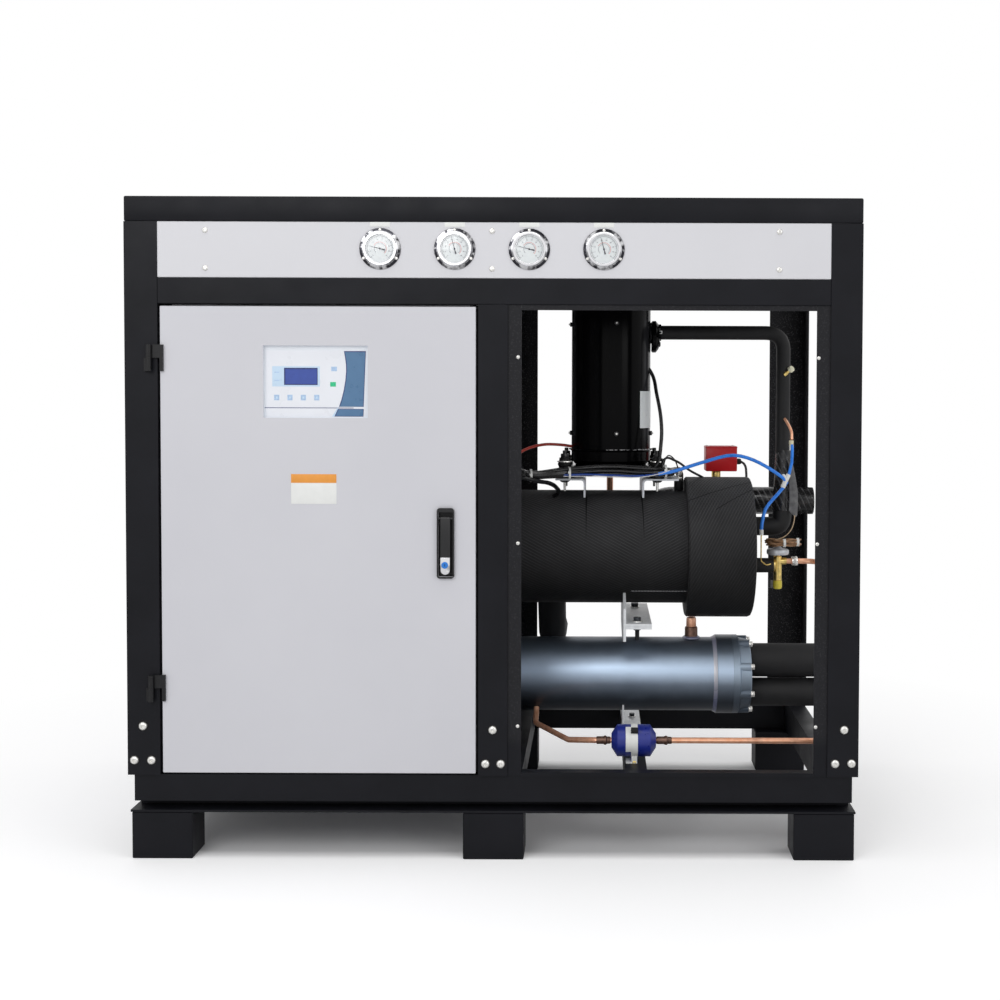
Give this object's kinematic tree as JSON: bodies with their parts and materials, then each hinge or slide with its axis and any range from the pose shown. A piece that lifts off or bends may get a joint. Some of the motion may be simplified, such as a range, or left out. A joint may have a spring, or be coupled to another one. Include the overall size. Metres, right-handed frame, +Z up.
{
  "type": "laser chiller",
  "caption": "Water-cooled box chiller for a laser: black sheet-metal frame, grey control cabinet with a hinged door, and an open bay with the refrigeration circuit.",
  "frame": {"origin": "on the floor under the middle of the machine's whole bounding box", "axes": "+X to the right seen from the front, +Y to the back, +Z up"},
  "size_m": [1.5, 0.7646, 1.358],
  "materials": {
    "black_coat": "semi-gloss black powder coat with a fine texture",
    "hinge_black": "black coat, worn bright on the barrel",
    "grey_coat": "light grey powder coat",
    "galvanised": "galvanised sheet",
    "gauge_chrome": "bright plated ring round a white dial",
    "copper": "bare copper tube",
    "brass": "turned brass",
    "foam": "matt black foam insulation",
    "gloss_black": "glossy black enamel",
    "blue_grey_paint": "blue-grey metallic paint",
    "cast_blue_grey": "painted rough casting",
    "deep_blue": "deep blue enamel",
    "red_plastic": "red moulded cover",
    "white_plastic": "white keypad with a blue display",
    "black_plastic": "black moulded body",
    "lever_black": "black lever with a silver insert",
    "cable_black": "black cable sheaths",
    "hose_blue": "blue plastic hose"
  },
  "bodies": {
    "chassis": {"base_cross_rail_left": "black_coat", "base_cross_rail_right": "black_coat", "base_front_rail": "black_coat", "base_left_rail": "black_coat", "base_middle_rail": "black_coat", "base_rear_rail": "black_coat", "base_right_rail": "black_coat", "blue_hose": "hose_blue", "cabinet_box": "grey_coat", "cable_bundle": "cable_black", "chilled_return_pipe": "foam", "chilled_water_pipe": "foam", "compressor": "gloss_black", "compressor_bracket_left": "galvanised", "compressor_bracket_right": "galvanised", "condenser_bracket_left": "galvanised", "condenser_bracket_right": "galvanised", "condenser_head": "cast_blue_grey", "condenser_leg_left": "galvanised", "condenser_leg_right": "galvanised", "condenser_shell": "blue_grey_paint", "cooling_pipe_lower": "foam", "cooling_pipe_upper": "foam", "discharge_line": "copper", "evaporator_bracket_left": "galvanised", "evaporator_bracket_right": "galvanised", "evaporator_head_cover": "foam", "evaporator_shell": "foam", "expansion_valve": "brass", "filter_drier": "deep_blue", "flow_switch": "red_plastic", "front_mid_rail": "black_coat", "gauge_panel": "grey_coat", "hinge_1_post_leaf": "hinge_black", "hinge_2_post_leaf": "hinge_black", "left_side_panel": "grey_coat", "liquid_line_lower": "copper", "liquid_line_upper": "copper", "post_front_left": "black_coat", "post_front_middle": "black_coat", "post_front_right": "black_coat", "post_rear_left": "black_coat", "post_rear_middle": "black_coat", "post_rear_right": "black_coat", "pressure_gauge_1": "gauge_chrome", "pressure_gauge_2": "gauge_chrome", "pressure_gauge_3": "gauge_chrome", "pressure_gauge_4": "gauge_chrome", "rear_panel": "grey_coat", "suction_elbow": "foam", "suction_pipe": "foam", "top_frame": "black_coat"},
    "door": {"door_panel": "grey_coat", "controller_unit": "white_plastic", "lock_body": "black_plastic", "hinge_1_door_leaf": "hinge_black", "hinge_2_door_leaf": "hinge_black"},
    "lock_lever": {"lock_lever": "lever_black"}
  },
  "joints": [
    {"name": "door_hinge", "type": "hinge", "parent": "chassis", "child": "door", "pos_m": [-0.698, -0.37675, 0.6925], "axis": [0, 0, -1], "range_deg": [0, 110]},
    {"name": "lever_tilt", "type": "hinge", "parent": "door", "child": "lock_lever", "pos_m": [-0.0972, -0.37175, 0.705], "axis": [-1, 0, 0], "range_deg": [0, 35]}
  ]
}
